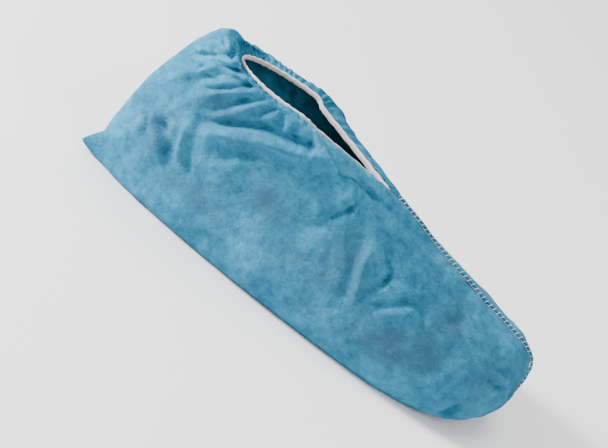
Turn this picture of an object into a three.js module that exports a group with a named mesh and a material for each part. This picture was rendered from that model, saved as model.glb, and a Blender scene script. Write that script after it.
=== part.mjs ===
import * as THREE from "three";

// A disposable fabric shoe cover, standing on its sole with the shape a foot leaves in it.
// Millimetres. x runs from the heel to the toe, z is up, and y < 0 is the side that faces the viewer.

// Main sizes
const LENGTH = 320; // from the fold at the heel to the tip of the toe
const BALL_WIDTH = 116; // across the ball of the foot
const HEEL_HEIGHT = 126; // to the top of the gathers behind the ankle
const TOE_SPRING = 10; // how far the tip of the toe is lifted off the floor
const LIFT_START = 0.766; // where the toe starts to lift, as a share of LENGTH
const LIFT_TOP = 0.556; // the lift is gone at this share of HEEL_HEIGHT
const LIFT_LOW = 0.238; // and whole below this share of it

// Fabric and trim
const WALL = 1.5; // the fabric, drawn thicker than the real 0.3 mm
const GAP = 0.3; // between two pieces
const EAR_REACH = 12.5; // the pointed corner at the bottom of the heel
const EAR_HEIGHT = 14; // from its tip up to the heel
const EAR_WIDTH = 4;
const GROOVE = 3.2; // how far the sole is drawn up along its centre line, to keep the seam off the floor
const ELASTIC_WIDTH = 3.2;
const ELASTIC_THICK = 1.4;
const ELASTIC_PROUD = 1.4; // how far the elastic stands above the edge of the fabric
const SEAM_WIDTH = 1.6;
const SEAM_HEIGHT = 2;

// Gathers and creases
const GATHERS = 22; // waves round the mouth
const GATHER_DEPTH = 3.2;
const FOLD_DEPTH = 3;
const FOLD_WIDTH = 6.5;
// How far from the widest place toward the front the sides stay as round as at the back
const FRONT_TURN = 0.5;
const MERIDIANS = 128;

function table(columns, rows) {
  return rows.map((row) => Object.fromEntries(columns.map((column, i) => [column, row[i]])));
}

// The rings of the cover, from the centre line of the sole out to its edge, up the sides and in to the mouth.
// back, front and widest: shares of LENGTH. half: the half width, a share of BALL_WIDTH.
// backShape, frontShape: how the ring ends, 1 a point, 2 an ellipse, more is blunter.
// zBack, zSide, zFront: shares of HEEL_HEIGHT. drawSide, drawFront: shares of GROOVE added to them.
// gatherBack, gatherSide: shares of GATHER_DEPTH. fold: the share of the creases that reaches the ring.
// steps: the number of levels up to the next ring.
const RINGS = table(
  ["back", "front", "half", "widest", "backShape", "frontShape", "zBack", "zSide", "zFront",
    "drawSide", "drawFront", "gatherBack", "gatherSide", "fold", "steps"],
  [
    [0.056, 0.925, 0.0, 0.744, 2.0, 2.0, 0.0, 0.0, 0.0, 1, 1, 0.0, 0.0, 0.0, 1], // centre line
    [0.047, 0.934, 0.078, 0.744, 2.5, 2.5, 0.0, 0.0, 0.0, 0, 1, 0.0, 0.0, 0.0, 2], // edge of the groove
    [0.034, 0.95, 0.44, 0.744, 1.4, 2.5, 0.0, 0.0, 0.0, 0, 1, 0.0, 0.0, 0.0, 2], // last touch of the floor
    [0.019, 0.988, 0.487, 0.738, 1.45, 2.5, 0.04, 0.06, 0.063, 0, 0, 0.0, 0.0, 0.2, 2], // edge of the sole
    [0.013, 1.0, 0.5, 0.731, 1.55, 2.4, 0.238, 0.206, 0.206, 0, 0, 0.0, 0.0, 0.9, 3], // widest
    [0.022, 0.968, 0.401, 0.672, 1.7, 1.9, 0.54, 0.46, 0.44, 0, 0, 0.1, 0.0, 1.0, 3], // waist
    [0.05, 0.813, 0.297, 0.516, 1.8, 1.15, 0.794, 0.675, 0.572, 0, 0, 0.45, 0.15, 1.0, 3], // upper
    [0.075, 0.694, 0.248, 0.375, 2.0, 1.1, 0.944, 0.85, 0.664, 0, 0, 0.8, 0.6, 0.8, 2], // shoulder
    [0.106, 0.619, 0.22, 0.313, 2.0, 1.1, 1.0, 0.946, 0.734, 0, 0, 1.0, 0.9, 0.4, 2], // crest of the gathers
    [0.156, 0.569, 0.168, 0.294, 2.0, 1.06, 0.929, 0.917, 0.772, 0, 0, 0.4, 0.3, 0.0, 0], // edge of the mouth
  ],
);

// The larger creases. side is -1 or 1. x: shares of LENGTH. z: shares of HEEL_HEIGHT.
// wide: a share of FOLD_WIDTH. deep: a share of FOLD_DEPTH, below zero for a groove and above for a ridge.
const CREASES = table(
  ["side", "xStart", "zStart", "xEnd", "zEnd", "wide", "deep"],
  [
    [-1, 0.09, 0.9, 0.18, 0.97, 0.8, -0.9], // behind the ankle
    [-1, 0.12, 0.8, 0.21, 0.92, 0.9, -0.8],
    [-1, 0.16, 0.6, 0.27, 0.8, 1.0, -0.8], // the long one below the mouth
    [-1, 0.27, 0.8, 0.39, 0.87, 0.9, -0.8],
    [-1, 0.17, 0.52, 0.3, 0.71, 1.0, 0.6],
    [-1, 0.08, 0.5, 0.16, 0.33, 1.1, -1.0], // the side of the heel
    [-1, 0.14, 0.55, 0.17, 0.33, 0.9, 0.6],
    [-1, 0.46, 0.57, 0.52, 0.75, 1.0, -0.7], // in front of the ankle
    [-1, 0.57, 0.62, 0.6, 0.36, 1.1, 0.7], // the instep
    [-1, 0.6, 0.63, 0.63, 0.4, 1.0, -0.9],
    [-1, 0.66, 0.5, 0.72, 0.56, 1.0, -0.8],
    [-1, 0.67, 0.25, 0.76, 0.33, 1.8, -0.7], // above the ball of the foot
    [-1, 0.25, 0.33, 0.36, 0.45, 2.2, -0.7], // the hollow of the side
    [1, 0.1, 0.86, 0.2, 0.94, 0.9, -0.9],
    [1, 0.17, 0.56, 0.3, 0.76, 1.0, -0.8],
    [1, 0.1, 0.45, 0.17, 0.3, 1.1, -0.8],
    [1, 0.47, 0.55, 0.53, 0.73, 1.0, -0.7],
    [1, 0.61, 0.6, 0.64, 0.36, 1.0, -0.8],
    [1, 0.27, 0.3, 0.38, 0.42, 2.2, -0.6],
  ],
);

function clamp(value) {
  return Math.min(1, Math.max(0, value));
}

function smooth(value) {
  const part = clamp(value);
  return part * part * (3 - 2 * part);
}

// A ring in millimetres
function measure(row) {
  return {
    ...row,
    back: row.back * LENGTH,
    front: row.front * LENGTH,
    widest: row.widest * LENGTH,
    half: row.half * BALL_WIDTH,
    zBack: row.zBack * HEEL_HEIGHT + row.drawSide * GROOVE,
    zSide: row.zSide * HEEL_HEIGHT + row.drawSide * GROOVE,
    zFront: row.zFront * HEEL_HEIGHT + row.drawFront * GROOVE,
  };
}

// A pointed end moves further than the sides do when a ring is drawn in evenly.
function endFactor(reach, half, shape) {
  return half > 0 ? 1 + (Math.hypot(1, reach / half) - 1) * clamp(2 - shape) : 1;
}

function drawIn(ring, amount) {
  const backFactor = endFactor(ring.widest - ring.back, ring.half, ring.backShape);
  const frontFactor = endFactor(ring.front - ring.widest, ring.half, ring.frontShape);
  return {
    ...ring,
    back: ring.back + amount * backFactor,
    front: ring.front - amount * frontFactor,
    half: ring.half - amount,
  };
}

// The inside of the fabric: each profile of the rings, back, side and front, moved square to itself by WALL.
function lining(rings) {
  const sole = 2;
  const profiles = {
    back: rings.map((ring) => [-ring.back, ring.zBack]),
    side: rings.map((ring) => [ring.half, ring.zSide]),
    front: rings.map((ring) => [ring.front, ring.zFront]),
  };
  const shift = (profile, i) => {
    if (i <= sole) return [WALL, WALL];
    const before = profile[i - 1];
    const after = profile[Math.min(i + 1, profile.length - 1)];
    const out = after[0] - before[0];
    const up = after[1] - before[1];
    const size = Math.hypot(out, up);
    return [(WALL * up) / size, (WALL * out) / size];
  };
  return rings.map((ring, i) => {
    const [backOut, backUp] = shift(profiles.back, i);
    const [sideOut, sideUp] = shift(profiles.side, i);
    const [frontOut, frontUp] = shift(profiles.front, i);
    const backFactor = endFactor(ring.widest - ring.back, ring.half, ring.backShape);
    const frontFactor = endFactor(ring.front - ring.widest, ring.half, ring.frontShape);
    return {
      ...ring,
      back: ring.back + backOut * backFactor,
      front: ring.front - frontOut * frontFactor,
      half: i === 0 ? 0 : ring.half - sideOut,
      zBack: ring.zBack + backUp,
      zSide: ring.zSide + sideUp,
      zFront: ring.zFront + frontUp,
    };
  });
}

function ringPoint(ring, angle) {
  const c = Math.cos(angle);
  const s = Math.sin(angle);
  const atFront = c >= 0;
  const forward = atFront ? smooth(c / FRONT_TURN) : 0;
  const shape = ring.backShape + (ring.frontShape - ring.backShape) * forward;
  const reach = atFront ? ring.front - ring.widest : ring.widest - ring.back;
  const zEnd = atFront ? ring.zFront : ring.zBack;
  return [
    ring.widest + reach * Math.sign(c) * Math.abs(c) ** (2 / shape),
    ring.half * Math.sign(s) * Math.abs(s) ** (2 / shape),
    ring.zSide + (zEnd - ring.zSide) * c * c,
  ];
}

// The toe's lift
function lifted([x, y, z]) {
  const along = clamp((x / LENGTH - LIFT_START) / (1 - LIFT_START));
  const low = 1 - smooth((z / HEEL_HEIGHT - LIFT_LOW) / (LIFT_TOP - LIFT_LOW));
  return [x, y, z + TOE_SPRING * along * along * low];
}

function curve(before, start, end, after, part) {
  return start.map((value, k) => {
    const a = before[k];
    const b = value;
    const c = end[k];
    const d = after[k];
    const slope = (c - a) * part;
    const bend = (2 * a - 5 * b + 4 * c - d) * part ** 2;
    const turn = (3 * b - a - 3 * c + d) * part ** 3;
    return b + 0.5 * (slope + bend + turn);
  });
}

// Rows of points between the rings: the sole is flat between its rings, and the rest is a smooth curve.
function surface(rings) {
  const sole = 2;
  const last = rings.length - 1;
  const angles = Array.from({ length: MERIDIANS }, (_, j) => (2 * Math.PI * j) / MERIDIANS);
  const points = rings.map((ring) => angles.map((angle) => ringPoint(ring, angle)));
  const rows = [];
  for (let i = 0; i < last; i += 1) {
    for (let step = 0; step < rings[i].steps; step += 1) {
      const part = step / rings[i].steps;
      rows.push(
        angles.map((_, j) => {
          const start = points[i][j];
          const end = points[i + 1][j];
          if (i < sole) return start.map((value, k) => value + (end[k] - value) * part);
          const before = points[Math.max(i - 1, sole)][j];
          const after = points[Math.min(i + 2, last)][j];
          return curve(before, start, end, after, part);
        }),
      );
    }
  }
  rows.push(points[last]);
  return rows;
}

// A column of the ring table at each row of points
function rowValues(rings, column) {
  const values = [];
  rings.forEach((ring, i) => {
    for (let step = 0; step < ring.steps; step += 1) {
      const next = rings[i + 1][column];
      values.push(ring[column] + ((next - ring[column]) * step) / ring.steps);
    }
  });
  values.push(rings.at(-1)[column]);
  return values;
}

// Directions square to the smooth surface
function outward(rows) {
  return rows.map((row, i) =>
    row.map((point, j) => {
      const next = new THREE.Vector3(...row[(j + 1) % MERIDIANS]);
      const previous = new THREE.Vector3(...row[(j + MERIDIANS - 1) % MERIDIANS]);
      const above = new THREE.Vector3(...rows[Math.min(i + 1, rows.length - 1)][j]);
      const below = new THREE.Vector3(...rows[Math.max(i - 1, 0)][j]);
      const normal = next.sub(previous).cross(above.sub(below)).normalize();
      const away = new THREE.Vector3(point[0] - row[0][0] / 2 - row[MERIDIANS / 2][0] / 2, point[1], 0);
      return normal.dot(away) < 0 ? new THREE.Vector3(0, 0, 1) : normal;
    }),
  );
}

// How far a crease moves a point of the side
function creaseAt(crease, x, y, z) {
  if (y * crease.side <= 0) return 0;
  const xStart = crease.xStart * LENGTH;
  const zStart = crease.zStart * HEEL_HEIGHT;
  const xRun = crease.xEnd * LENGTH - xStart;
  const zRun = crease.zEnd * HEEL_HEIGHT - zStart;
  const along = ((x - xStart) * xRun + (z - zStart) * zRun) / (xRun * xRun + zRun * zRun);
  const nearest = clamp(along);
  const away = Math.hypot(x - xStart - nearest * xRun, z - zStart - nearest * zRun);
  const width = crease.wide * FOLD_WIDTH;
  return crease.deep * FOLD_DEPTH * Math.exp(-((away / width) ** 2));
}

// Gathers stand outwards from the elastic, deepest behind the ankle and gone at the seam on the instep.
function gatherAt(angle, back, side) {
  const turn = Math.min(angle, 2 * Math.PI - angle);
  const behind = smooth((turn / Math.PI - 0.5) * 2);
  const strength = (side + (back - side) * behind) * (0.6 + 0.4 * behind) * smooth(turn / 0.7);
  const wave = Math.cos(GATHERS * angle + 0.9 * Math.sin(3 * angle) + 0.7 * Math.cos(5 * angle));
  return GATHER_DEPTH * strength * (0.5 + 0.5 * wave);
}

const rings = RINGS.map(measure);
const outerRows = surface(rings);
const innerRows = surface(lining(rings));
const normals = outward(outerRows);
const gatherBack = rowValues(rings, "gatherBack");
const gatherSide = rowValues(rings, "gatherSide");
const foldShare = rowValues(rings, "fold");

const moves = outerRows.map((row, i) =>
  row.map(([x, y, z], j) => {
    const angle = (2 * Math.PI * j) / MERIDIANS;
    const fromSeam = smooth(Math.abs(y) / (0.1 * BALL_WIDTH));
    const creases = CREASES.reduce((sum, crease) => sum + creaseAt(crease, x, y, z), 0);
    return creases * foldShare[i] * fromSeam + gatherAt(angle, gatherBack[i], gatherSide[i]);
  }),
);

function worn(rows) {
  return rows.map((row, i) =>
    row.map(([x, y, z], j) => {
      const normal = normals[i][j];
      const move = moves[i][j];
      return lifted([x + normal.x * move, y + normal.y * move, z + normal.z * move]);
    }),
  );
}

// The corner of the flat pattern that is left standing out at the heel, its tip level with the edge of the sole
function eared([x, y, z]) {
  const tip = rings[3].zBack;
  const acrossHeel = Math.exp(-((y / EAR_WIDTH) ** 2));
  const upHeel = clamp(1 - (z > tip ? (z - tip) / EAR_HEIGHT : (tip - z) / (1.5 * tip)));
  const nearHeel = smooth(1 - x / (2.5 * EAR_REACH));
  return [x - EAR_REACH * acrossHeel * upHeel * nearHeel, y, z];
}

const outside = worn(outerRows).map((row) => row.map(eared));
const inside = worn(innerRows);

function solid(name, points, faces, material) {
  const geometry = new THREE.BufferGeometry();
  geometry.setAttribute("position", new THREE.Float32BufferAttribute(points.flat(), 3));
  geometry.setIndex(faces.flat());
  geometry.computeVertexNormals();
  const mesh = new THREE.Mesh(geometry, material);
  mesh.name = name;
  return mesh;
}

// The fabric: its outside, its inside and the strip between them round the mouth
function fabricShell() {
  const levels = outside.length;
  const points = [...outside.flat(), ...inside.flat()];
  // The two halves of the sole meet on its centre line, so its points are shared.
  const index = (side, i, j) => {
    const wrapped = j % MERIDIANS;
    const shared = i === 0 && wrapped > MERIDIANS / 2 ? MERIDIANS - wrapped : wrapped;
    return (side * levels + i) * MERIDIANS + shared;
  };
  const faces = [];
  const quad = (a, b, c, d) => {
    if (a !== b && b !== c && a !== c) faces.push([a, b, c]);
    if (a !== c && c !== d && a !== d) faces.push([a, c, d]);
  };
  for (let i = 0; i < levels - 1; i += 1) {
    for (let j = 0; j < MERIDIANS; j += 1) {
      quad(index(0, i, j), index(0, i, j + 1), index(0, i + 1, j + 1), index(0, i + 1, j));
      quad(index(1, i, j), index(1, i + 1, j), index(1, i + 1, j + 1), index(1, i, j + 1));
    }
  }
  for (let j = 0; j < MERIDIANS; j += 1) {
    const top = levels - 1;
    quad(index(0, top, j), index(0, top, j + 1), index(1, top, j + 1), index(1, top, j));
  }
  const material = new THREE.MeshStandardMaterial({ color: 0x5591ac, roughness: 0.85, metalness: 0 });
  return solid("fabric_shell", points, faces, material);
}

// A closed or open run of sections, each with the same number of corners
function sweep(name, sections, closed, material) {
  const corners = sections[0].length;
  const count = sections.length;
  const faces = [];
  for (let i = 0; i < (closed ? count : count - 1); i += 1) {
    for (let k = 0; k < corners; k += 1) {
      const a = i * corners + k;
      const b = i * corners + ((k + 1) % corners);
      const c = ((i + 1) % count) * corners + ((k + 1) % corners);
      const d = ((i + 1) % count) * corners + k;
      faces.push([a, b, c], [a, c, d]);
    }
  }
  if (!closed) {
    const last = (count - 1) * corners;
    for (let k = 1; k < corners - 1; k += 1) {
      faces.push([0, k + 1, k], [last, last + k, last + k + 1]);
    }
  }
  return solid(name, sections.flat(), faces, material);
}

// The elastic inside the edge of the mouth
function mouthElastic() {
  const edge = rings.at(-1);
  const slack = GAP + WALL * 0.5;
  const outer = drawIn(edge, GAP);
  outer.front -= slack * 4;
  const inner = drawIn(outer, ELASTIC_THICK);
  const sections = [];
  for (let j = 0; j < MERIDIANS; j += 2) {
    const angle = (2 * Math.PI * j) / MERIDIANS;
    const [xOut, yOut, z] = ringPoint(outer, angle);
    const [xIn, yIn] = ringPoint(inner, angle);
    const top = z + ELASTIC_PROUD;
    const bottom = top - ELASTIC_WIDTH;
    sections.push([
      [xOut, yOut, bottom],
      [xIn, yIn, bottom],
      [xIn, yIn, top],
      [xOut, yOut, top],
    ]);
  }
  const material = new THREE.MeshStandardMaterial({ color: 0xe6e0dc, roughness: 0.7, metalness: 0 });
  return sweep("mouth_elastic", sections, true, material);
}

// The joining seam: a thin ridge from the front of the mouth over the toe and back along the sole to the heel
function centreSeam() {
  const front = outside.map((row) => row[0]).reverse();
  const sole = outside[0].filter((_, j) => j > 0 && j <= MERIDIANS / 2 && j % 3 === 1);
  const path = [...front, ...sole].map(([x, , z]) => [x, z]);
  const sections = path.map(([x, z], i) => {
    const before = path[Math.max(i - 1, 0)];
    const after = path[Math.min(i + 1, path.length - 1)];
    const runX = after[0] - before[0];
    const runZ = after[1] - before[1];
    const size = Math.hypot(runX, runZ);
    const outX = -runZ / size;
    const outZ = runX / size;
    const corner = (y, high) => {
      const reach = 1.3 * GAP + high * SEAM_HEIGHT;
      return [x + outX * reach, y * SEAM_WIDTH, z + outZ * reach];
    };
    return [
      corner(0.22, 0),
      corner(0.5, 0.42),
      corner(0.22, 1),
      corner(-0.22, 1),
      corner(-0.5, 0.42),
      corner(-0.22, 0),
    ];
  });
  const material = new THREE.MeshStandardMaterial({ color: 0x8fc0d2, roughness: 0.8, metalness: 0 });
  return sweep("centre_seam", sections, false, material);
}

const cover = new THREE.Group();
cover.name = "shoe_cover";
cover.add(fabricShell(), mouthElastic(), centreSeam());

// The middle of the footprint goes to x = 0 and y = 0. The sole is already at z = 0.
const middle = new THREE.Box3().setFromObject(cover).getCenter(new THREE.Vector3());
cover.children.forEach((mesh) => mesh.geometry.translate(-middle.x, -middle.y, 0));

export default cover;
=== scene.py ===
import math

import bpy
import numpy as np
from mathutils import Matrix, Vector, noise


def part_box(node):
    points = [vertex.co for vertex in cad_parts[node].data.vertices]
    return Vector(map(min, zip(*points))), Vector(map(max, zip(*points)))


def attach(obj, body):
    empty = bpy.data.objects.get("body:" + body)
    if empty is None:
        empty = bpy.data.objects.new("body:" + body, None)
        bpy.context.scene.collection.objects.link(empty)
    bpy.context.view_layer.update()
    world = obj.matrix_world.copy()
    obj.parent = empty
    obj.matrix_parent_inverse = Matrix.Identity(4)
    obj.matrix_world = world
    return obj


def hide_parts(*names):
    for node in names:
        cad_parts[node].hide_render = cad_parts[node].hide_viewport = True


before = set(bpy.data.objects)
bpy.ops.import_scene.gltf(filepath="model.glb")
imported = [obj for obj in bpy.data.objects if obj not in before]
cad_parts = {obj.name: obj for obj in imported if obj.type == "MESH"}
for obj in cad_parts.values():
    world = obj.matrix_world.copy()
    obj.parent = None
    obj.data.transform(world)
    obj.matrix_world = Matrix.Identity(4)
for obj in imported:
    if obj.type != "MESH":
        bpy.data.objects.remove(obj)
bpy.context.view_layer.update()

# A disposable shoe cover of thin nonwoven fabric, gathered round its mouth by an elastic.
# Lengths are in millimetres. x runs from the heel to the toe, z is up, and y < 0 is the photographed side.
MM = 0.001

# Sizes that the part's source has too
LENGTH = 320.0  # from the fold at the heel to the tip of the toe
BALL_WIDTH = 116.0
HEEL_HEIGHT = 126.0
TOE_SPRING = 10.0  # how far the tip of the toe is lifted off the floor
LIFT_START = 0.766  # where the toe starts to lift, as a share of LENGTH
LIFT_TOP = 0.556  # the lift is gone at this share of HEEL_HEIGHT
LIFT_LOW = 0.238  # and whole below this share of it
EAR_REACH = 12.5  # the pointed corner at the bottom of the heel
EAR_HEIGHT = 14.0
EAR_WIDTH = 4.0
GROOVE = 3.2  # how far the sole is drawn up along its centre line
GATHERS = 22
GATHER_DEPTH = 3.2
FOLD_DEPTH = 3.0
FOLD_WIDTH = 6.5
FRONT_TURN = 0.5  # how far from the widest place toward the front the sides stay as round as at the back
GAP = 0.3  # between the fabric and the elastic
ELASTIC_WIDTH = 3.2
ELASTIC_THICK = 1.4
ELASTIC_PROUD = 1.4  # how far the elastic stands above the edge of the fabric

# Sizes of the scene's own
TOE_TIP = 320.3  # the end of the solid's toe in this script's own lengths, a little past LENGTH
FABRIC = 0.5  # thickness of the fabric
LOW_SIDE = 2.7  # how much lower the gathers stand on the photographed side
CREASE_STRENGTH = 1.75
SMALL_GATHERS = 61  # close pleats round the mouth
SMALL_GATHER_DEPTH = 0.55
CRUMPLE_DEPTH = 1.6
CRINKLE_DEPTH = 0.8
PUCKER_DEPTH = 0.34
ELASTIC_FRONT = 4.2  # how much shorter the elastic's loop is at its front
ELASTIC_SAMPLES = 360
SEAM_STEP = 0.9  # between two sections of the seam
SEAM_HEIGHT = 1.9
STITCH_PITCH = 3.7
LOOP_THREAD = 0.27  # radius of the thread over the ridge
FOOT_THREAD = 0.12  # radius of the thread along its feet
FOOT_OUT = 1.35  # from the middle of the ridge to the thread along its foot
MERIDIANS = 400
FINER = 6  # rows of points for each level of the part's source

# The rings of the cover, as in the part's source: shares of the sizes above
# back, front and widest: shares of LENGTH. half: the half width, a share of BALL_WIDTH
# back_shape, front_shape: how the ring ends, 1 a point, 2 an ellipse, more is blunter
# z_back, z_side, z_front: shares of HEEL_HEIGHT. draw_side, draw_front: shares of GROOVE added to them
# gather_back, gather_side: shares of GATHER_DEPTH. fold: the share of the creases that reaches the ring
RING_COLUMNS = (
    "back", "front", "half", "widest", "back_shape", "front_shape", "z_back", "z_side", "z_front",
    "draw_side", "draw_front", "gather_back", "gather_side", "fold", "steps",
)
RINGS = [
    # centre line of the sole
    (0.056, 0.925, 0.0, 0.744, 2.0, 2.0, 0.0, 0.0, 0.0, 1, 1, 0.0, 0.0, 0.0, 1),
    # edge of the groove
    (0.047, 0.934, 0.078, 0.744, 2.5, 2.5, 0.0, 0.0, 0.0, 0, 1, 0.0, 0.0, 0.0, 2),
    # last touch of the floor
    (0.034, 0.95, 0.44, 0.744, 1.4, 2.5, 0.0, 0.0, 0.0, 0, 1, 0.0, 0.0, 0.0, 2),
    # edge of the sole
    (0.019, 0.988, 0.487, 0.738, 1.45, 2.5, 0.04, 0.06, 0.063, 0, 0, 0.0, 0.0, 0.2, 2),
    # widest
    (0.013, 1.0, 0.5, 0.731, 1.55, 2.4, 0.238, 0.206, 0.206, 0, 0, 0.0, 0.0, 0.9, 3),
    # waist
    (0.022, 0.968, 0.401, 0.672, 1.7, 1.9, 0.54, 0.46, 0.44, 0, 0, 0.1, 0.0, 1.0, 3),
    # upper
    (0.05, 0.813, 0.297, 0.516, 1.8, 1.15, 0.794, 0.675, 0.572, 0, 0, 0.45, 0.15, 1.0, 3),
    # shoulder
    (0.075, 0.694, 0.248, 0.375, 2.0, 1.1, 0.944, 0.85, 0.664, 0, 0, 0.8, 0.6, 0.8, 2),
    # crest of the gathers
    (0.106, 0.619, 0.22, 0.313, 2.0, 1.1, 1.0, 0.946, 0.734, 0, 0, 1.0, 0.9, 0.4, 2),
    # edge of the mouth
    (0.156, 0.569, 0.168, 0.294, 2.0, 1.06, 0.929, 0.917, 0.772, 0, 0, 0.4, 0.3, 0.0, 0),
]
RINGS = [dict(zip(RING_COLUMNS, row)) for row in RINGS]
GROOVE_EDGE = 2  # up to this row, the rings are joined by straight stretches
SOLE_EDGE = 3

# Larger creases, as in the part's source: side, start and end (x as a share of LENGTH, z of HEEL_HEIGHT),
# then width as a share of FOLD_WIDTH and depth as a share of FOLD_DEPTH
BROAD_CREASES = [
    (-1, 0.09, 0.9, 0.18, 0.97, 0.8, -0.9),
    (-1, 0.12, 0.8, 0.21, 0.92, 0.9, -0.8),
    (-1, 0.16, 0.6, 0.27, 0.8, 1.0, -0.8),
    (-1, 0.27, 0.8, 0.39, 0.87, 0.9, -0.8),
    (-1, 0.17, 0.52, 0.3, 0.71, 1.0, 0.6),
    (-1, 0.08, 0.5, 0.16, 0.33, 1.1, -1.0),
    (-1, 0.14, 0.55, 0.17, 0.33, 0.9, 0.6),
    (-1, 0.46, 0.57, 0.52, 0.75, 1.0, -0.7),
    (-1, 0.57, 0.62, 0.6, 0.36, 1.1, 0.7),
    (-1, 0.6, 0.63, 0.63, 0.4, 1.0, -0.9),
    (-1, 0.66, 0.5, 0.72, 0.56, 1.0, -0.8),
    (-1, 0.67, 0.25, 0.76, 0.33, 1.8, -0.7),
    (-1, 0.25, 0.33, 0.36, 0.45, 2.2, -0.7),
    (1, 0.1, 0.86, 0.2, 0.94, 0.9, -0.9),
    (1, 0.17, 0.56, 0.3, 0.76, 1.0, -0.8),
    (1, 0.1, 0.45, 0.17, 0.3, 1.1, -0.8),
    (1, 0.47, 0.55, 0.53, 0.73, 1.0, -0.7),
    (1, 0.61, 0.6, 0.64, 0.36, 1.0, -0.8),
    (1, 0.27, 0.3, 0.38, 0.42, 2.2, -0.6),
]

# Finer creases: side, points along it (x, z), width and depth. A negative depth is a groove
FINE_CREASES = [
    (-1, [(22, 104), (34, 116), (46, 124)], 1.8, -1.8),
    (-1, [(26, 98), (42, 111), (56, 120)], 1.8, -1.8),
    (-1, [(38, 90), (54, 104), (66, 116)], 1.8, -1.6),
    (-1, [(60, 96), (68, 106), (76, 115)], 1.6, -1.4),
    (-1, [(74, 98), (80, 106), (86, 114)], 1.6, -1.4),
    (-1, [(30, 101), (45, 113), (54, 121)], 1.6, 1.2),
    (-1, [(46, 92), (58, 106), (68, 115)], 1.6, 1.2),
    (1, [(24, 102), (38, 114), (50, 122)], 1.8, -1.8),
    (1, [(34, 94), (50, 107), (62, 117)], 1.8, -1.6),
    (-1, [(24, 119), (36, 125)], 2.2, -1.6),
    (-1, [(27, 117), (46, 122)], 2.4, -2.0),
    (-1, [(30, 111), (44, 114), (58, 119)], 2.8, -2.4),
    (-1, [(37, 105), (52, 110), (67, 114)], 2.4, -1.8),
    (-1, [(33, 99), (48, 104)], 2.4, -1.2),
    (-1, [(51, 81), (60, 95), (67, 108)], 2.2, -1.5),
    (-1, [(50, 74), (66, 86), (85, 98), (122, 108)], 2.6, -2.9),
    (-1, [(56, 69), (72, 81), (92, 92), (124, 101)], 3.2, 2.1),
    (-1, [(26, 58), (38, 50), (51, 40)], 2.8, -2.2),
    (-1, [(45, 66), (48, 54), (51, 41)], 2.2, 1.6),
    (-1, [(21, 53), (26, 45)], 2.0, -1.2),
    (-1, [(58, 52), (62, 41)], 2.2, -1.2),
    (-1, [(68, 68), (76, 80), (90, 88)], 2.2, 1.2),
    (-1, [(72, 62), (82, 74), (94, 82)], 2.6, -1.4),
    (-1, [(88, 114), (94, 102)], 2.2, -1.4),
    (-1, [(101, 112), (103, 101)], 2.2, -1.2),
    (-1, [(112, 111), (117, 101)], 2.0, -1.0),
    (-1, [(166, 93), (158, 82), (147, 70)], 2.2, 1.3),
    (-1, [(162, 90), (153, 78), (145, 66)], 2.4, -1.6),
    (-1, [(152, 103), (160, 99), (171, 95)], 1.8, -1.3),
    (-1, [(183, 76), (188, 60), (194, 41)], 3.0, 1.8),
    (-1, [(192, 78), (203, 69), (201, 54)], 2.2, -1.2),
    (-1, [(208, 66), (201, 52), (198, 42)], 2.2, 1.4),
    (-1, [(211, 61), (220, 66), (233, 70)], 2.2, 1.4),
    (-1, [(203, 47), (214, 56), (226, 64)], 2.6, -2.0),
    (-1, [(226, 65), (234, 60), (242, 53)], 2.2, -1.0),
    (-1, [(248, 62), (262, 65)], 2.6, -1.1),
    (-1, [(281, 6), (289, 22)], 2.2, -2.0),
    (-1, [(84, 20), (104, 26), (126, 24)], 3.4, 0.9),
    (-1, [(290, 52), (308, 43)], 1.8, -1.5),
    (-1, [(286, 59), (302, 52)], 1.8, -1.4),
    (-1, [(294, 40), (311, 34)], 1.8, -1.2),
    (1, [(27, 117), (46, 121)], 2.4, -2.0),
    (1, [(32, 108), (50, 113), (64, 117)], 2.6, -2.0),
    (1, [(40, 98), (56, 106)], 2.4, -1.4),
    (1, [(52, 72), (70, 86), (96, 99)], 2.6, -2.0),
    (1, [(58, 66), (76, 80), (100, 92)], 3.0, 1.3),
    (1, [(28, 60), (40, 50), (54, 38)], 2.8, -2.0),
    (1, [(90, 112), (95, 100)], 2.2, -1.2),
    (1, [(150, 72), (160, 82), (168, 92)], 2.2, -1.4),
    (1, [(186, 76), (196, 60), (204, 44)], 2.4, -1.8),
    (1, [(207, 60), (222, 64), (236, 66)], 2.2, 1.2),
    (1, [(288, 54), (304, 46)], 2.0, -1.0),
]

# Darker, greyer places on the sides: side, x, z, reach along x, reach along z, strength
SHADES = [
    (-1, 115, 61, 20, 14, 0.7),
    (-1, 81, 38, 26, 13, 0.55),
    (-1, 150, 44, 26, 15, 0.45),
    (-1, 228, 36, 24, 14, 0.9),
    (-1, 254, 60, 16, 8, 0.6),
    (-1, 32, 52, 12, 16, 0.7),
    (-1, 62, 92, 18, 10, 0.6),
    (-1, 176, 56, 20, 20, 0.75),
    (-1, 244, 40, 22, 16, 0.8),
    (-1, 290, 40, 16, 18, 0.5),
    (-1, 190, 24, 22, 10, 0.4),
    (1, 110, 56, 22, 16, 0.6),
    (1, 220, 38, 26, 14, 0.7),
    (1, 40, 60, 16, 18, 0.6),
    (1, 160, 40, 22, 14, 0.4),
]


def smooth(value):
    part = np.clip(value, 0.0, 1.0)
    return part * part * (3.0 - 2.0 * part)


def measure(row):
    """A ring's shares turned into millimetres."""
    ring = dict(row)
    for key in ("back", "front", "widest"):
        ring[key] = row[key] * LENGTH
    ring["half"] = row["half"] * BALL_WIDTH
    ring["z_back"] = row["z_back"] * HEEL_HEIGHT + row["draw_side"] * GROOVE
    ring["z_side"] = row["z_side"] * HEEL_HEIGHT + row["draw_side"] * GROOVE
    ring["z_front"] = row["z_front"] * HEEL_HEIGHT + row["draw_front"] * GROOVE
    return ring


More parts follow.
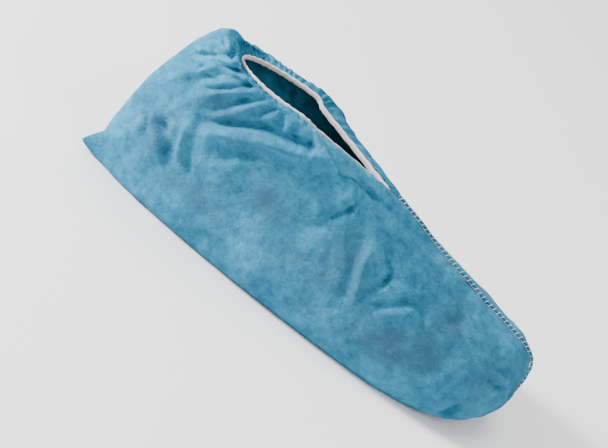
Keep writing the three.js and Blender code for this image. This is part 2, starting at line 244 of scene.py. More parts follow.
def ring_points(ring, angles):
    """Points of a ring, with its own heights at the back, the sides and the front."""
    c = np.cos(angles)
    s = np.sin(angles)
    at_front = c >= 0
    forward = np.where(at_front, smooth(c / FRONT_TURN), 0.0)
    shape = ring["back_shape"] + (ring["front_shape"] - ring["back_shape"]) * forward
    reach = np.where(at_front, ring["front"] - ring["widest"], ring["widest"] - ring["back"])
    z_end = np.where(at_front, ring["z_front"], ring["z_back"])
    x = ring["widest"] + reach * np.sign(c) * np.abs(c) ** (2.0 / shape)
    y = ring["half"] * np.sign(s) * np.abs(s) ** (2.0 / shape)
    z = ring["z_side"] + (z_end - ring["z_side"]) * c * c
    return np.stack([x, y, z], -1)


def curve(a, b, c, d, part):
    """The point at a share of the way from b to c, on a smooth curve through all four."""
    slope = (c - a) * part
    bend = (2 * a - 5 * b + 4 * c - d) * part**2
    turn = (3 * b - a - 3 * c + d) * part**3
    return b + 0.5 * (slope + bend + turn)


def surface(rings, angles, finer):
    """Rows of points from the sole's centre line to the mouth, and each row's place in the table."""
    points = [ring_points(ring, angles) for ring in rings]
    last = len(rings) - 1
    rows = []
    places = []
    for i in range(last):
        count = rings[i]["steps"] * finer
        for step in range(count):
            part = step / count
            places.append(i + part)
            if i < GROOVE_EDGE:
                rows.append(points[i] + (points[i + 1] - points[i]) * part)
            else:
                before = points[max(i - 1, GROOVE_EDGE)]
                after = points[min(i + 2, last)]
                rows.append(curve(before, points[i], points[i + 1], after, part))
    rows.append(points[last])
    places.append(last)
    return np.array(rows), np.array(places)


def lifted(points):
    """The toe lifted off the floor."""
    along = np.clip((points[..., 0] / LENGTH - LIFT_START) / (1 - LIFT_START), 0, 1)
    low = 1 - smooth((points[..., 2] / HEEL_HEIGHT - LIFT_LOW) / (LIFT_TOP - LIFT_LOW))
    out = points.copy()
    out[..., 2] += TOE_SPRING * along * along * low
    return out


def eared(points):
    """The heel drawn out to its pointed corner at the bottom."""
    x, y, z = points[..., 0], points[..., 1], points[..., 2]
    tip = rings[SOLE_EDGE]["z_back"]
    across = np.exp(-((y / EAR_WIDTH) ** 2))
    rise = np.where(z > tip, (z - tip) / EAR_HEIGHT, (tip - z) / (1.5 * tip))
    up = np.clip(1 - rise, 0, 1)
    near = smooth(1 - x / (2.5 * EAR_REACH))
    out = points.copy()
    out[..., 0] -= EAR_REACH * across * up * near
    return out


def square_to(rows):
    """Outward directions, square to the surface."""
    along = np.roll(rows, -1, axis=1) - np.roll(rows, 1, axis=1)
    up = np.gradient(rows, axis=0)
    normal = np.cross(along, up)
    size = np.linalg.norm(normal, axis=-1, keepdims=True)
    normal = normal / np.maximum(size, 1e-9)
    middle = 0.5 * (rows[0, 0, 0] + rows[0, rows.shape[1] // 2, 0])
    away = np.stack([rows[..., 0] - middle, rows[..., 1], np.zeros(rows.shape[:2])], -1)
    inward = (normal * away).sum(-1) < 0
    # A direction that leans inward, as at the mouth and in the groove of the sole, becomes straight up
    normal[inward] = (0, 0, 1)
    return normal


def stroke_distance(x, z, points):
    """Distance to a run of straight stretches, and the share of its length at the nearest place."""
    points = np.array(points, dtype=float)
    runs = np.diff(points, axis=0)
    lengths = np.hypot(runs[:, 0], runs[:, 1])
    starts = np.concatenate([[0], np.cumsum(lengths)])
    best = np.full(x.shape, 1e9)
    share = np.zeros(x.shape)
    sign = np.ones(x.shape)
    for i, run in enumerate(runs):
        dx = x - points[i, 0]
        dz = z - points[i, 1]
        part = np.clip((dx * run[0] + dz * run[1]) / (run @ run), 0, 1)
        away = np.hypot(dx - part * run[0], dz - part * run[1])
        nearer = away < best
        best = np.where(nearer, away, best)
        share = np.where(nearer, (starts[i] + part * lengths[i]) / starts[-1], share)
        sign = np.where(nearer, np.sign(dx * run[1] - dz * run[0]), sign)
    return best, share, sign


def broad_creases(points):
    """Straight grooves and ridges with soft sides."""
    x, y, z = points[..., 0], points[..., 1], points[..., 2]
    total = np.zeros(x.shape)
    for side, x0, z0, x1, z1, wide, deep in BROAD_CREASES:
        ends = [(x0 * LENGTH, z0 * HEEL_HEIGHT), (x1 * LENGTH, z1 * HEEL_HEIGHT)]
        away, _, _ = stroke_distance(x, z, ends)
        total += (y * side > 0) * deep * FOLD_DEPTH * np.exp(-((away / (wide * FOLD_WIDTH)) ** 2))
    return total


def fine_creases(points):
    """Grooves and ridges that fade at both ends, each with a lower one of the other kind beside it."""
    x, y, z = points[..., 0], points[..., 1], points[..., 2]
    wander = 1.6 * np.sin(x / 7.0 + z / 5.0) + 1.1 * np.sin(x / 3.1 - z / 4.3)
    total = np.zeros(x.shape)
    for side, ends, wide, deep in FINE_CREASES:
        away, share, sign = stroke_distance(x + 0.4 * wander, z + 0.4 * wander, ends)
        fade = smooth(share / 0.25 + 0.25) * smooth((1 - share) / 0.25 + 0.25)
        main = np.exp(-((away / wide) ** 2))
        beside = np.exp(-(((away * sign - 2.1 * wide) / (1.4 * wide)) ** 2))
        total += (y * side > 0) * CREASE_STRENGTH * deep * fade * (main - 0.45 * beside)
    return total


def gathers(angles, places):
    """Rounded waves behind and beside the mouth, deepest at the heel."""
    turn = np.minimum(angles, 2 * np.pi - angles)[None, :]
    behind = smooth((turn / np.pi - 0.5) * 2)
    back = np.interp(places, range(len(RINGS)), [r["gather_back"] for r in RINGS])[:, None]
    side = np.interp(places, range(len(RINGS)), [r["gather_side"] for r in RINGS])[:, None]
    strength = (side + (back - side) * behind) * (0.6 + 0.4 * behind) * smooth(turn / 0.7)
    phase = GATHERS * angles + 0.9 * np.sin(3 * angles) + 0.7 * np.cos(5 * angles)
    wave = np.abs(np.cos(0.5 * phase))[None, :] ** 0.85
    uneven = 0.78 + 0.22 * np.sin(3.7 * angles + 0.8) * np.cos(8.3 * angles)
    return GATHER_DEPTH * strength * wave * uneven[None, :]


def small_gathers(angles, places):
    """Close pleats where the fabric is drawn on to the elastic."""
    near = smooth((places - 7.6) / 1.0)[:, None]
    turn = np.minimum(angles, 2 * np.pi - angles)[None, :]
    phase = SMALL_GATHERS * angles + 1.4 * np.sin(7 * angles) + 0.9 * np.sin(13 * angles + 1.0)
    return SMALL_GATHER_DEPTH * near * smooth(turn / 0.35) * np.cos(phase)[None, :]


def crumple(points, scale, seed):
    """Uneven dents and rises. A larger scale makes them smaller and closer."""
    offset = Vector((seed * 13.7, seed * 7.1, seed * 3.3))
    flat = points.reshape(-1, 3) * scale
    values = [noise.fractal(Vector(p) + offset, 0.9, 2.1, 3) for p in flat]
    return np.array(values).reshape(points.shape[:-1])


def seam_puckers(points, places):
    """Short waves beside the seam on the instep and the toe."""
    x, y, z = points[..., 0], points[..., 1], points[..., 2]
    beside = np.exp(-((np.abs(y) / 9.0) ** 2)) * smooth(np.abs(y) / 2.5)
    front = smooth((x - 170) / 30)
    above = smooth((places[:, None] - 2.6) / 0.8)
    run = x * 0.75 - z * 0.9 + 0.35 * np.abs(y)
    wave = np.sin(run / 1.55 + 1.3 * np.sin(run / 9.0)) + 0.6 * np.sin(run / 2.9 + np.sign(y))
    return PUCKER_DEPTH * beside * front * above * wave


# The fabric's slack: how long it is cut at each ring, as a share of the ring. It is longest round the mouth
SLACK = [1.03, 1.03, 1.03, 1.04, 1.06, 1.08, 1.13, 1.21, 1.31, 1.42]
SLACK_AHEAD = 0.15  # the share of the slack that is left on the toe
SLACK_UP = (1.02, 0.06)  # how tall the fabric is cut, at the toe and more of it at the heel
FORM_INSET = 2.2  # from the drawn surface in to the form that the fabric settles on
UNIT = 0.01  # simulated ten times larger than real, where the solver is steadier
SKIN = 0.005  # how near the fabric comes to the form, in simulated units
FRAMES = 40
CAP = 11.0  # the farthest that the fabric slides


def cloth_start(start, rows, places, held):
    """Cloth between the edge of the sole and the mouth, with the size it was cut to as its rest shape."""
    levels, count = start.shape[:2]
    faces = []
    for i in range(levels - 1):
        for j in range(count):
            following = (j + 1) % count
            above = (i + 1) * count
            faces.append((i * count + j, i * count + following, above + following, above + j))
    mesh = bpy.data.meshes.new("slack_fabric")
    mesh.from_pydata([tuple(p) for p in start.reshape(-1, 3) * UNIT], [], faces)
    obj = bpy.data.objects.new("slack_fabric", mesh)
    bpy.context.scene.collection.objects.link(obj)
    obj.shape_key_add(name="Basis")
    cut = obj.shape_key_add(name="cut")
    slack = np.interp(places, range(len(SLACK)), SLACK)[:, None] - 1
    toward_back = smooth((195 - rows[..., 0]) / 90)
    slack = 1 + slack * (SLACK_AHEAD + (1 - SLACK_AHEAD) * toward_back)
    middle = rows.mean(axis=1, keepdims=True)
    grown = start.copy()
    grown[..., :2] = middle[..., :2] + (rows - middle)[..., :2] * slack[..., None]
    grown[..., 2] = rows[..., 2] * (SLACK_UP[0] + SLACK_UP[1] * toward_back)
    cut.data.foreach_set("co", (grown * UNIT).astype(np.float32).ravel())
    group = obj.vertex_groups.new(name="held")
    for index, weight in enumerate(held.ravel()):
        if weight > 0:
            group.add([index], float(weight), "REPLACE")
    return obj, cut


def simulate_slack(start, rows, places, normals, held):
    """Let the fabric settle on a form a little inside it, and return where each point came to rest."""
    obj, cut = cloth_start(start, rows, places, held)
    levels, count = rows.shape[:2]
    form_points = (rows - normals * FORM_INSET) * UNIT
    form_mesh = bpy.data.meshes.new("form")
    form_faces = [tuple(face.vertices) for face in obj.data.polygons]
    form_mesh.from_pydata([tuple(p) for p in form_points.reshape(-1, 3)], [], form_faces)
    form = bpy.data.objects.new("form", form_mesh)
    bpy.context.scene.collection.objects.link(form)
    form.modifiers.new("collision", "COLLISION")
    form.collision.thickness_outer = SKIN
    form.collision.cloth_friction = 8.0
    cloth = obj.modifiers.new("cloth", "CLOTH")
    settings = cloth.settings
    settings.quality = 7
    settings.mass = 0.12
    settings.tension_stiffness = 25
    settings.compression_stiffness = 25
    settings.shear_stiffness = 6
    settings.bending_stiffness = 0.03
    settings.tension_damping = 8
    settings.compression_damping = 8
    settings.air_damping = 3.0
    settings.vertex_group_mass = "held"
    settings.pin_stiffness = 1.0
    settings.rest_shape_key = cut
    settings.effector_weights.gravity = 0.25
    cloth.collision_settings.use_collision = True
    cloth.collision_settings.distance_min = SKIN
    cloth.collision_settings.collision_quality = 2
    cloth.point_cache.frame_start = 1
    cloth.point_cache.frame_end = FRAMES
    scene = bpy.context.scene
    for step in range(1, FRAMES + 1):
        scene.frame_set(step)
    graph = bpy.context.evaluated_depsgraph_get()
    settled = obj.evaluated_get(graph).to_mesh()
    found = np.empty(len(settled.vertices) * 3, dtype=np.float32)
    settled.vertices.foreach_get("co", found)
    scene.frame_set(1)
    for helper in (obj, form):
        bpy.data.objects.remove(helper, do_unlink=True)
    return found.reshape(levels, count, 3).astype(float) / UNIT


def between(values, axis):
    """Twice as many samples along an axis, the new ones from a cubic curve."""
    if axis == 1:
        ahead = np.roll(values, -1, axis=1)
        further = np.roll(values, -2, axis=1)
        before = np.roll(values, 1, axis=1)
        middle = (9 * (values + ahead) - before - further) / 16
        out = np.empty((values.shape[0], values.shape[1] * 2) + values.shape[2:])
        out[:, 0::2] = values
        out[:, 1::2] = middle
        return out
    padded = np.concatenate([values[:1], values, values[-1:]], axis=0)
    middle = (9 * (padded[1:-2] + padded[2:-1]) - padded[:-3] - padded[3:]) / 16
    out = np.empty((values.shape[0] * 2 - 1,) + values.shape[1:])
    out[0::2] = values
    out[1::2] = middle
    return out


def evened(values):
    """Take out the sharpest points: each value moves a little toward those beside it."""
    around = (np.roll(values, 1, axis=1) + np.roll(values, -1, axis=1)) / 2
    values = 0.7 * values + 0.3 * around
    inner = 0.7 * values[1:-1] + 0.15 * (values[:-2] + values[2:])
    return np.concatenate([values[:1], inner, values[-1:]], axis=0)


def hold_weights(rows, places):
    """How firmly each point is held while the fabric settles, from 0 to 1.

    The sole's edge, the mouth, the seam and the heel's corner are held fast, the fabric behind the mouth
    less, the instep lightly, and the rest not at all.
    """
    x, y, z = rows[..., 0], rows[..., 1], rows[..., 2]
    held = np.zeros(rows.shape[:2])
    held[0] = 1
    held[1] = 0.5
    held[-1] = 1
    at_seam = np.exp(-((y / 7.5) ** 2)) * (x > 150)
    held = np.maximum(held, at_seam)
    at_ear = np.exp(-((y / 7.0) ** 2)) * (x < 60) * smooth((40 - z) / 15)
    held = np.maximum(held, at_ear)
    behind_mouth = np.exp(-((y / 13.0) ** 2)) * (x < 90) * smooth((places[:, None] - 7.2) / 1.2)
    held = np.maximum(held, 0.7 * behind_mouth)
    instep = smooth((x - 135) / 30) * smooth((270 - x) / 30) * smooth((z - 45) / 15)
    held = np.maximum(held, 0.1 * instep)
    return np.where(held > 0.02, held, 0)


angles = np.arange(MERIDIANS) * 2 * np.pi / MERIDIANS
rings = [measure(row) for row in RINGS]
base, places = surface(rings, angles, FINER)
# On the photographed side the gathers stand a little lower beside the mouth, and its white edge shows
along_mouth = smooth((base[..., 0] - 22) / 25) * smooth((150 - base[..., 0]) / 40)
beside_mouth = smooth(-base[..., 1] / 10) * np.exp(-(((places - 7.9) / 0.9) ** 2))[:, None]
base[..., 2] -= LOW_SIDE * along_mouth * beside_mouth
normals = square_to(base)
# Creases fade at the seam, and the fine ones above the edge of the sole and below the edge of the mouth
fold_share = np.interp(places, range(len(RINGS)), [r["fold"] for r in RINGS])[:, None]
off_seam = smooth(np.abs(base[..., 1]) / (0.1 * BALL_WIDTH))
fine_share = (smooth((places - 2.2) / 0.8) * smooth((8.97 - places) / 0.4))[:, None]
ruffled = fine_share * (0.25 + 0.75 * off_seam)
move = broad_creases(base) * fold_share * off_seam
move += gathers(angles, places)
move += CRUMPLE_DEPTH * crumple(base, 0.03, 1) * ruffled * np.clip(fold_share * 1.6, 0, 1)
shaped = base + normals * move[..., None]

# Only the part from the sole's edge up is simulated, on every second row and meridian
low = int(np.argmax(places >= SOLE_EDGE))
rows = base[low::2, ::2]
row_places = places[low::2]
row_normals = normals[low::2, ::2]
began = shaped[low::2, ::2] + row_normals * 0.5 * crumple(rows, 0.12, 5)[..., None]
settled = simulate_slack(began, rows, row_places, row_normals, hold_weights(rows, row_places))
slide = settled - rows
reach = np.linalg.norm(slide, axis=-1, keepdims=True)
slide = evened(slide * np.tanh(reach / CAP) * CAP / np.maximum(reach, 1e-6))
shaped[low:] = base[low:] + between(between(slide, 0), 1)

detail = small_gathers(angles, places)
detail = detail + fine_creases(base) * fine_share * off_seam
detail += CRINKLE_DEPTH * crumple(base, 0.085, 2) * ruffled
detail += seam_puckers(base, places)
outside = eared(lifted(shaped + normals * detail[..., None]))
outside[..., 2] = np.maximum(outside[..., 2], 0.0)
inside = lifted(shaped + normals * (detail[..., None] - FABRIC))
inside[..., 2] = np.maximum(inside[..., 2], FABRIC)

# The part's frame has x = 0 in the middle of its box
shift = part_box("fabric_shell")[1][0] / MM - TOE_TIP


def placed(points):
    """Points of this script in the part's frame, in metres."""
    out = np.array(points, dtype=float).copy()
    out[..., 0] += shift
    return out * MM


def new_object(name, points, faces, smooth_shading=True):
    mesh = bpy.data.meshes.new(name)
    mesh.from_pydata([tuple(p) for p in points], [], faces)
    mesh.validate()
    mesh.update()
    if smooth_shading:
        mesh.polygons.foreach_set("use_smooth", [True] * len(mesh.polygons))
    obj = bpy.data.objects.new(name, mesh)
    bpy.context.scene.collection.objects.link(obj)
    return obj


def material(name):
    made = bpy.data.materials.new(name)
    made.use_nodes = True
    tree = made.node_tree
    shader = tree.nodes["Principled BSDF"]
    return made, tree, shader


def noise_texture(tree, where, scale, detail, roughness):
    made = tree.nodes.new("ShaderNodeTexNoise")
    made.inputs["Scale"].default_value = scale
    made.inputs["Detail"].default_value = detail
    made.inputs["Roughness"].default_value = roughness
    tree.links.new(where, made.inputs["Vector"])
    return made.outputs["Fac"]


def bump(tree, height, strength, distance):
    made = tree.nodes.new("ShaderNodeBump")
    made.inputs["Strength"].default_value = strength
    made.inputs["Distance"].default_value = distance
    tree.links.new(height, made.inputs["Height"])
    return made


def ramp(tree, source, stops):
    made = tree.nodes.new("ShaderNodeValToRGB")
    elements = made.color_ramp.elements
    while len(elements) < len(stops):
        elements.new(0.5)
    for element, (place, colour) in zip(elements, stops):
        element.position = place
        element.color = colour
    tree.links.new(source, made.inputs["Fac"])
    return made.outputs["Color"]


def mix_colour(tree, blend, factor, a, b):
    made = tree.nodes.new("ShaderNodeMix")
    made.data_type = "RGBA"
    made.blend_type = blend
    for socket, value in ((made.inputs[0], factor), (made.inputs[6], a), (made.inputs[7], b)):
        if isinstance(value, (int, float, tuple)):
            socket.default_value = value
        else:
            tree.links.new(value, socket)
    return made.outputs[2]


def math_node(tree, operation, a, b):
    made = tree.nodes.new("ShaderNodeMath")
    made.operation = operation
    for socket, value in ((made.inputs[0], a), (made.inputs[1], b)):
        if isinstance(value, (int, float)):
            socket.default_value = value
        else:
            tree.links.new(value, socket)
    return made.outputs[0]


def nonwoven(name):
    """Light blue spunbonded fabric: cloudy, with fine fibres and rows of small bond points."""
    made, tree, shader = material(name)
    link = tree.links.new
    where = tree.nodes.new("ShaderNodeTexCoord").outputs["Object"]

    clouds = noise_texture(tree, where, 34.0, 5.0, 0.6)
    cloud_colour = ramp(tree, clouds, [
        (0.30, (0.015, 0.108, 0.190, 1)),
        (0.48, (0.021, 0.163, 0.280, 1)),
        (0.62, (0.029, 0.209, 0.345, 1)),
        (0.80, (0.042, 0.262, 0.408, 1)),
    ])

    grain = noise_texture(tree, where, 170.0, 6.0, 0.7)
    grain_tone = ramp(tree, grain, [
        (0.34, (0.66, 0.70, 0.74, 1)),
        (0.66, (1.28, 1.24, 1.20, 1)),
    ])
    grained = mix_colour(tree, "MULTIPLY", 0.95, cloud_colour, grain_tone)
    shade = tree.nodes.new("ShaderNodeAttribute")
    shade.attribute_name = "shade"
    greyed = mix_colour(tree, "MIX", shade.outputs["Fac"], grained, (0.030, 0.088, 0.150, 1))

    fibre_sets = []
    for turn, seed in ((0.5, 3.0), (1.7, 11.0), (2.6, 27.0)):
        place = tree.nodes.new("ShaderNodeMapping")
        place.inputs["Rotation"].default_value = (turn, turn * 0.7, turn)
        place.inputs["Location"].default_value = (seed, seed, seed)
        place.inputs["Scale"].default_value = (160.0, 2600.0, 2600.0)
        link(where, place.inputs["Vector"])
        fibre_sets.append(noise_texture(tree, place.outputs["Vector"], 1.0, 2.0, 0.5))
    fibres = math_node(tree, "ADD", math_node(tree, "ADD", fibre_sets[0], fibre_sets[1]), fibre_sets[2])
    fibre_tone = ramp(tree, math_node(tree, "MULTIPLY", fibres, 0.3333), [
        (0.36, (0.72, 0.74, 0.76, 1)),
        (0.62, (1.32, 1.28, 1.25, 1)),
    ])
    toned = mix_colour(tree, "MULTIPLY", 0.75, greyed, fibre_tone)

    bonds = tree.nodes.new("ShaderNodeTexVoronoi")
    bonds.inputs["Scale"].default_value = 780.0
    bonds.inputs["Randomness"].default_value = 0.35
    link(where, bonds.inputs["Vector"])
    bond_tone = ramp(tree, bonds.outputs["Distance"], [
        (0.16, (0.86, 0.88, 0.90, 1)),
        (0.34, (1.0, 1.0, 1.0, 1)),
    ])
    finished = mix_colour(tree, "MULTIPLY", 0.7, toned, bond_tone)
    link(finished, shader.inputs["Base Color"])

    bond_height = ramp(tree, bonds.outputs["Distance"], [(0.12, (0, 0, 0, 1)), (0.4, (1, 1, 1, 1))])
    crinkles = bump(tree, noise_texture(tree, where, 190.0, 6.0, 0.62), 0.5, 0.0029)
    fibre_height = math_node(tree, "MULTIPLY", fibres, 0.6)
    weave = bump(tree, math_node(tree, "ADD", bond_height, fibre_height), 0.35, 0.0003)
    link(crinkles.outputs["Normal"], weave.inputs["Normal"])
    link(weave.outputs["Normal"], shader.inputs["Normal"])
    rough = ramp(tree, clouds, [(0.3, (0.78, 0.78, 0.78, 1)), (0.8, (0.66, 0.66, 0.66, 1))])
    link(rough, shader.inputs["Roughness"])
    shader.inputs["Sheen Weight"].default_value = 0.02
    shader.inputs["Sheen Roughness"].default_value = 0.5
    shader.inputs["Specular IOR Level"].default_value = 0.07
    return made


def ribbed(name, colour, darker, scale):
    """Woven elastic or thread: fine ribs across it."""
    made, tree, shader = material(name)
    link = tree.links.new
    where = tree.nodes.new("ShaderNodeTexCoord").outputs["Object"]
    ribs = tree.nodes.new("ShaderNodeTexWave")
    ribs.inputs["Scale"].default_value = scale
    ribs.inputs["Distortion"].default_value = 1.5
    ribs.inputs["Detail"].default_value = 2.0
    link(where, ribs.inputs["Vector"])
    tone = ramp(tree, ribs.outputs["Fac"], [(0.25, darker), (0.7, colour)])
    link(tone, shader.inputs["Base Color"])
    link(bump(tree, ribs.outputs["Fac"], 0.5, 0.0003).outputs["Normal"], shader.inputs["Normal"])
    shader.inputs["Roughness"].default_value = 0.7
    shader.inputs["Sheen Weight"].default_value = 0.2
    return made


def cover_fabric():
    """The fabric's outside and inside, joined round the mouth."""
    levels, count = outside.shape[:2]
    half = count // 2
    points = np.concatenate([outside.reshape(-1, 3), inside.reshape(-1, 3)])

    # The first row is the centre line of the sole, where both halves share their points
    def index(side, i, j):
        wrapped = j % count
        if i == 0 and wrapped > half:
            wrapped = count - wrapped
        return (side * levels + i) * count + wrapped

    faces = []
    for i in range(levels - 1):
        for j in range(count):
            outer = [index(0, i, j), index(0, i, j + 1), index(0, i + 1, j + 1), index(0, i + 1, j)]
            inner = [index(1, i, j), index(1, i + 1, j), index(1, i + 1, j + 1), index(1, i, j + 1)]
            for face in (outer, inner):
                kept = list(dict.fromkeys(face))
                if len(kept) > 2:
                    faces.append(kept)
    top = levels - 1
    for j in range(count):
        faces.append([index(0, top, j), index(0, top, j + 1), index(1, top, j + 1), index(1, top, j)])
    obj = new_object("cover_fabric", placed(points), faces)
    x, y, z = points[:, 0], points[:, 1], points[:, 2]
    shade = np.zeros(len(points))
    for side, px, pz, reach_x, reach_z, strength in SHADES:
        near = np.exp(-(((x - px) / reach_x) ** 2) - ((z - pz) / reach_z) ** 2)
        shade = np.maximum(shade, (y * side > 0) * strength * near)
    patchy = np.array([noise.fractal(Vector(p) * 0.05, 0.8, 2.0, 4) for p in points])
    shade = np.clip(shade * (1.0 + 0.9 * patchy), 0, 0.85)
    attribute = obj.data.attributes.new("shade", "FLOAT", "POINT")
    attribute.data.foreach_set("value", shade.astype(np.float32)[: len(obj.data.vertices)])
    obj.data.materials.append(nonwoven("light_blue_nonwoven"))
    return obj


def sweep_faces(count, corners, closed):
    """Faces of a bar that is swept through a number of sections."""
    faces = []
    for i in range(count if closed else count - 1):
        for k in range(corners):
            following = (i + 1) % count
            faces.append((i * corners + k, i * corners + (k + 1) % corners,
                          following * corners + (k + 1) % corners, following * corners + k))
    if not closed:
        faces.append(tuple(reversed(range(corners))))
        faces.append(tuple((count - 1) * corners + k for k in range(corners)))
    return faces


def draw_in(ring, amount, front_more=0.0):
    """A ring that lies an amount inside another, and more of it at the front."""
    def factor(reach, half, shape):
        return 1 + (math.hypot(1, reach / half) - 1) * min(1, max(0, 2 - shape))

    out = dict(ring)
    out["back"] += amount * factor(ring["widest"] - ring["back"], ring["half"], ring["back_shape"])
    ahead = amount * factor(ring["front"] - ring["widest"], ring["half"], ring["front_shape"])
    out["front"] -= ahead + front_more
    out["half"] -= amount
    return out


def elastic_band():
    """White elastic with a slightly wavy top, drawn against the inside of the edge."""
    turns = np.arange(ELASTIC_SAMPLES) * 2 * np.pi / ELASTIC_SAMPLES
    loop = draw_in(rings[-1], GAP, ELASTIC_FRONT)
    outer = ring_points(loop, turns)
    inner = ring_points(draw_in(loop, ELASTIC_THICK), turns)
    wave = 0.1 * np.cos(SMALL_GATHERS * turns + 1.4 * np.sin(7 * turns)) + 0.16 * np.sin(37 * turns)
    high = ELASTIC_PROUD + wave
    sections = []
    for outward_point, inward_point, up in zip(outer, inner, high):
        middle = 0.5 * (outward_point + inward_point)
        across = outward_point - inward_point
        across[2] = 0.0
        bottom = up - ELASTIC_WIDTH
        # The corners of its section, rounded off: across as a share of its thickness, and up
        offsets = [
            (0.3, bottom), (-0.3, bottom), (-0.5, bottom + 0.5), (-0.5, up - 0.5),
            (-0.3, up), (0.3, up), (0.5, up - 0.5), (0.5, bottom + 0.5),
        ]
        for share, rise in offsets:
            sections.append(middle + across * share + np.array([0, 0, rise]))
    faces = sweep_faces(ELASTIC_SAMPLES, len(offsets), True)
    obj = new_object("elastic_band", placed(np.array(sections)), faces)
    obj.data.materials.append(ribbed("white_elastic", (0.78, 0.74, 0.72, 1), (0.55, 0.50, 0.49, 1), 420.0))
    return obj


def seam_path():
    """The line of the seam on the fabric, from the mouth to the heel, and its outward directions."""
    front = outside[:, 0, :][::-1]
    sole = outside[0, 1 : MERIDIANS // 2 + 1]
    line = np.concatenate([front, sole])[:, [0, 2]]
    steps = np.hypot(*np.diff(line, axis=0).T)
    # Points that lie on the one before are dropped
    apart = np.concatenate([[True], steps > 0.02])
    line = line[apart]
    lengths = np.concatenate([[0], np.cumsum(np.hypot(*np.diff(line, axis=0).T))])
    stations = np.arange(0, lengths[-1], SEAM_STEP)
    x = np.interp(stations, lengths, line[:, 0])
    z = np.interp(stations, lengths, line[:, 1])
    kernel = np.ones(5) / 5
    run_x = np.convolve(np.pad(np.gradient(x), 2, mode="edge"), kernel, mode="valid")
    run_z = np.convolve(np.pad(np.gradient(z), 2, mode="edge"), kernel, mode="valid")
    size = np.hypot(run_x, run_z)
    return stations, x, z, -run_z / size, run_x / size


def seam_ridge():
    """The doubled edge of the fabric, standing up under its thread."""
    stations, x, z, out_x, out_z = seam_path()
    sway = 0.16 * np.sin(stations / 3.1) + 0.12 * np.sin(stations / 7.7)
    height = SEAM_HEIGHT + 0.12 * np.sin(stations / 1.9) + 0.12 * np.sin(stations / 4.7)
    # Across in millimetres, and up as a share of the height
    half_profile = [(0.5, 0.0), (0.62, 0.35), (0.42, 0.8), (0.16, 1.0)]
    profile = half_profile + [(-across, up) for across, up in reversed(half_profile)]
    points = []
    for i in range(len(stations)):
        for across, up in profile:
            rise = 0.25 + up * height[i]
            points.append((x[i] + out_x[i] * rise, across + sway[i] * up, z[i] + out_z[i] * rise))
    faces = sweep_faces(len(stations), len(profile), False)
    obj = new_object("seam_ridge", placed(np.array(points)), faces)
    obj.data.materials.append(nonwoven("seam_nonwoven"))
    return obj


def tube(points, radius, sides):
    """Points and faces of a round tube along a run of points."""
    points = np.array(points)
    runs = np.gradient(points, axis=0)
    made = []
    for point, run in zip(points, runs):
        run = run / max(np.linalg.norm(run), 1e-9)
        side = np.cross(run, (0, 1, 0))
        if np.linalg.norm(side) < 0.3:
            side = np.cross(run, (0, 0, 1))
        side /= np.linalg.norm(side)
        other = np.cross(run, side)
        for k in range(sides):
            turn = 2 * math.pi * k / sides
            made.append(point + radius * (math.cos(turn) * side + math.sin(turn) * other))
    return made, sweep_faces(len(points), sides, False)


def overlock_thread():
    """White thread: a slanted loop over the ridge at each stitch, and a chain along both of its feet."""
    stations, x, z, out_x, out_z = seam_path()
    points = []
    faces = []

    def add(run, radius, sides):
        made, made_faces = tube(run, radius, sides)
        start = len(points)
        points.extend(made)
        faces.extend(tuple(start + k for k in face) for face in made_faces)

    def at(place, across, rise):
        px = np.interp(place, stations, x)
        pz = np.interp(place, stations, z)
        ox = np.interp(place, stations, out_x)
        oz = np.interp(place, stations, out_z)
        return (px + ox * rise, across, pz + oz * rise)

    # Each loop: across, up and along the seam
    loop = [
        (-FOOT_OUT, 0.35, 0.0), (-0.95, 1.1, 0.3), (-0.55, 2.0, 0.7), (0.0, 2.45, 1.2),
        (0.55, 2.0, 1.6), (0.95, 1.1, 1.9), (FOOT_OUT, 0.35, 2.1),
    ]
    place = 2.0
    while place < stations[-1] - 4.0:
        add([at(place + along, across, rise) for across, rise, along in loop], LOOP_THREAD, 5)
        place += STITCH_PITCH
    for foot in (-FOOT_OUT, FOOT_OUT):
        run = []
        for along in np.arange(1.0, stations[-1] - 3.0, 1.2):
            across = foot + 0.12 * math.sin(along * 2 * math.pi / STITCH_PITCH)
            run.append(at(along, across, 0.35))
        add(run, FOOT_THREAD, 5)
    obj = new_object("overlock_thread", placed(np.array(points)), faces)
    obj.data.materials.append(ribbed("white_thread", (0.75, 0.77, 0.78, 1), (0.55, 0.58, 0.60, 1), 900.0))
    return obj


fabric = cover_fabric()
elastic = elastic_band()
ridge = seam_ridge()
thread = overlock_thread()
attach(fabric, "root")
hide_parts("fabric_shell")
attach(elastic, "root")
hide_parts("mouth_elastic")
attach(ridge, "root")
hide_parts("centre_seam")
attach(thread, "root")

# Floor, lights and camera
floor = new_object("floor", [(-6, -6, 0), (6, -6, 0), (6, 6, 0), (-6, 6, 0)], [(0, 1, 2, 3)], False)
floor_material, floor_tree, floor_shader = material("pale_floor")
floor_noise = floor_tree.nodes.new("ShaderNodeTexNoise")
floor_noise.inputs["Scale"].default_value = 3.0
floor_tones = [(0.3, (0.92, 0.92, 0.92, 1)), (0.7, (0.95, 0.95, 0.95, 1))]
floor_tone = ramp(floor_tree, floor_noise.outputs["Fac"], floor_tones)
floor_tree.links.new(floor_tone, floor_shader.inputs["Base Color"])
floor_shader.inputs["Roughness"].default_value = 0.9
floor.data.materials.append(floor_material)

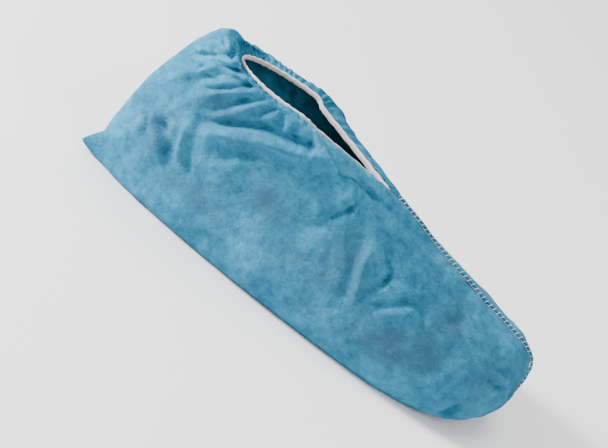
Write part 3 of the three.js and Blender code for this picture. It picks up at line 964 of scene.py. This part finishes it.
# The camera looks at the near side from above, a little from the heel, and is turned as in the photograph
AZIMUTH = math.radians(-6.2)
ELEVATION = math.radians(27.9)
ROLL = math.radians(36.6)
DISTANCE = 1.5
level = math.cos(ELEVATION)
back_way = Vector((math.sin(AZIMUTH) * level, -math.cos(AZIMUTH) * level, math.sin(ELEVATION)))
right_way = Vector((math.cos(AZIMUTH), math.sin(AZIMUTH), 0.0))
up_way = back_way.cross(right_way)
aim = Vector((0.004, 0.0, 0.055))
turned = Matrix((right_way, up_way, back_way)).transposed().to_4x4() @ Matrix.Rotation(ROLL, 4, "Z")
camera_data = bpy.data.cameras.new("camera")
camera_data.sensor_width = 36.0
camera_data.lens = 138.0
camera_data.clip_end = 50.0
camera = bpy.data.objects.new("camera", camera_data)
image_right = (turned @ Vector((1, 0, 0, 0))).to_3d()
image_up = (turned @ Vector((0, 1, 0, 0))).to_3d()
# Moved across the picture until the cover fills the frame as in the photograph
aim = aim - 0.0215 * image_right + 0.002 * image_up
camera.matrix_world = Matrix.Translation(aim + back_way * DISTANCE) @ turned
bpy.context.scene.collection.objects.link(camera)
bpy.context.scene.camera = camera


def area_light(name, place, target, size, watts):
    data = bpy.data.lights.new(name, "AREA")
    data.shape = "SQUARE"
    data.size = size
    data.energy = watts
    obj = bpy.data.objects.new(name, data)
    obj.location = place
    obj.rotation_euler = (Vector(target) - Vector(place)).to_track_quat("-Z", "Y").to_euler()
    bpy.context.scene.collection.objects.link(obj)


# The key light comes from the upper left of the picture, and a weak fill light from its right
centre = Vector((0, 0, 0.05))
area_light("key", centre - 1.0 * image_right + 1.3 * image_up + 0.5 * back_way, centre, 0.35, 95)
area_light("fill", centre + 1.3 * image_right - 0.2 * image_up + 1.2 * back_way, centre, 1.2, 12)
area_light("overhead", (0.1, 0.5, 1.9), centre, 1.0, 20)
world = bpy.data.worlds.new("studio")
world.use_nodes = True
world.node_tree.nodes["Background"].inputs["Color"].default_value = (1.0, 1.0, 1.0, 1)
world.node_tree.nodes["Background"].inputs["Strength"].default_value = 0.85
bpy.context.scene.world = world
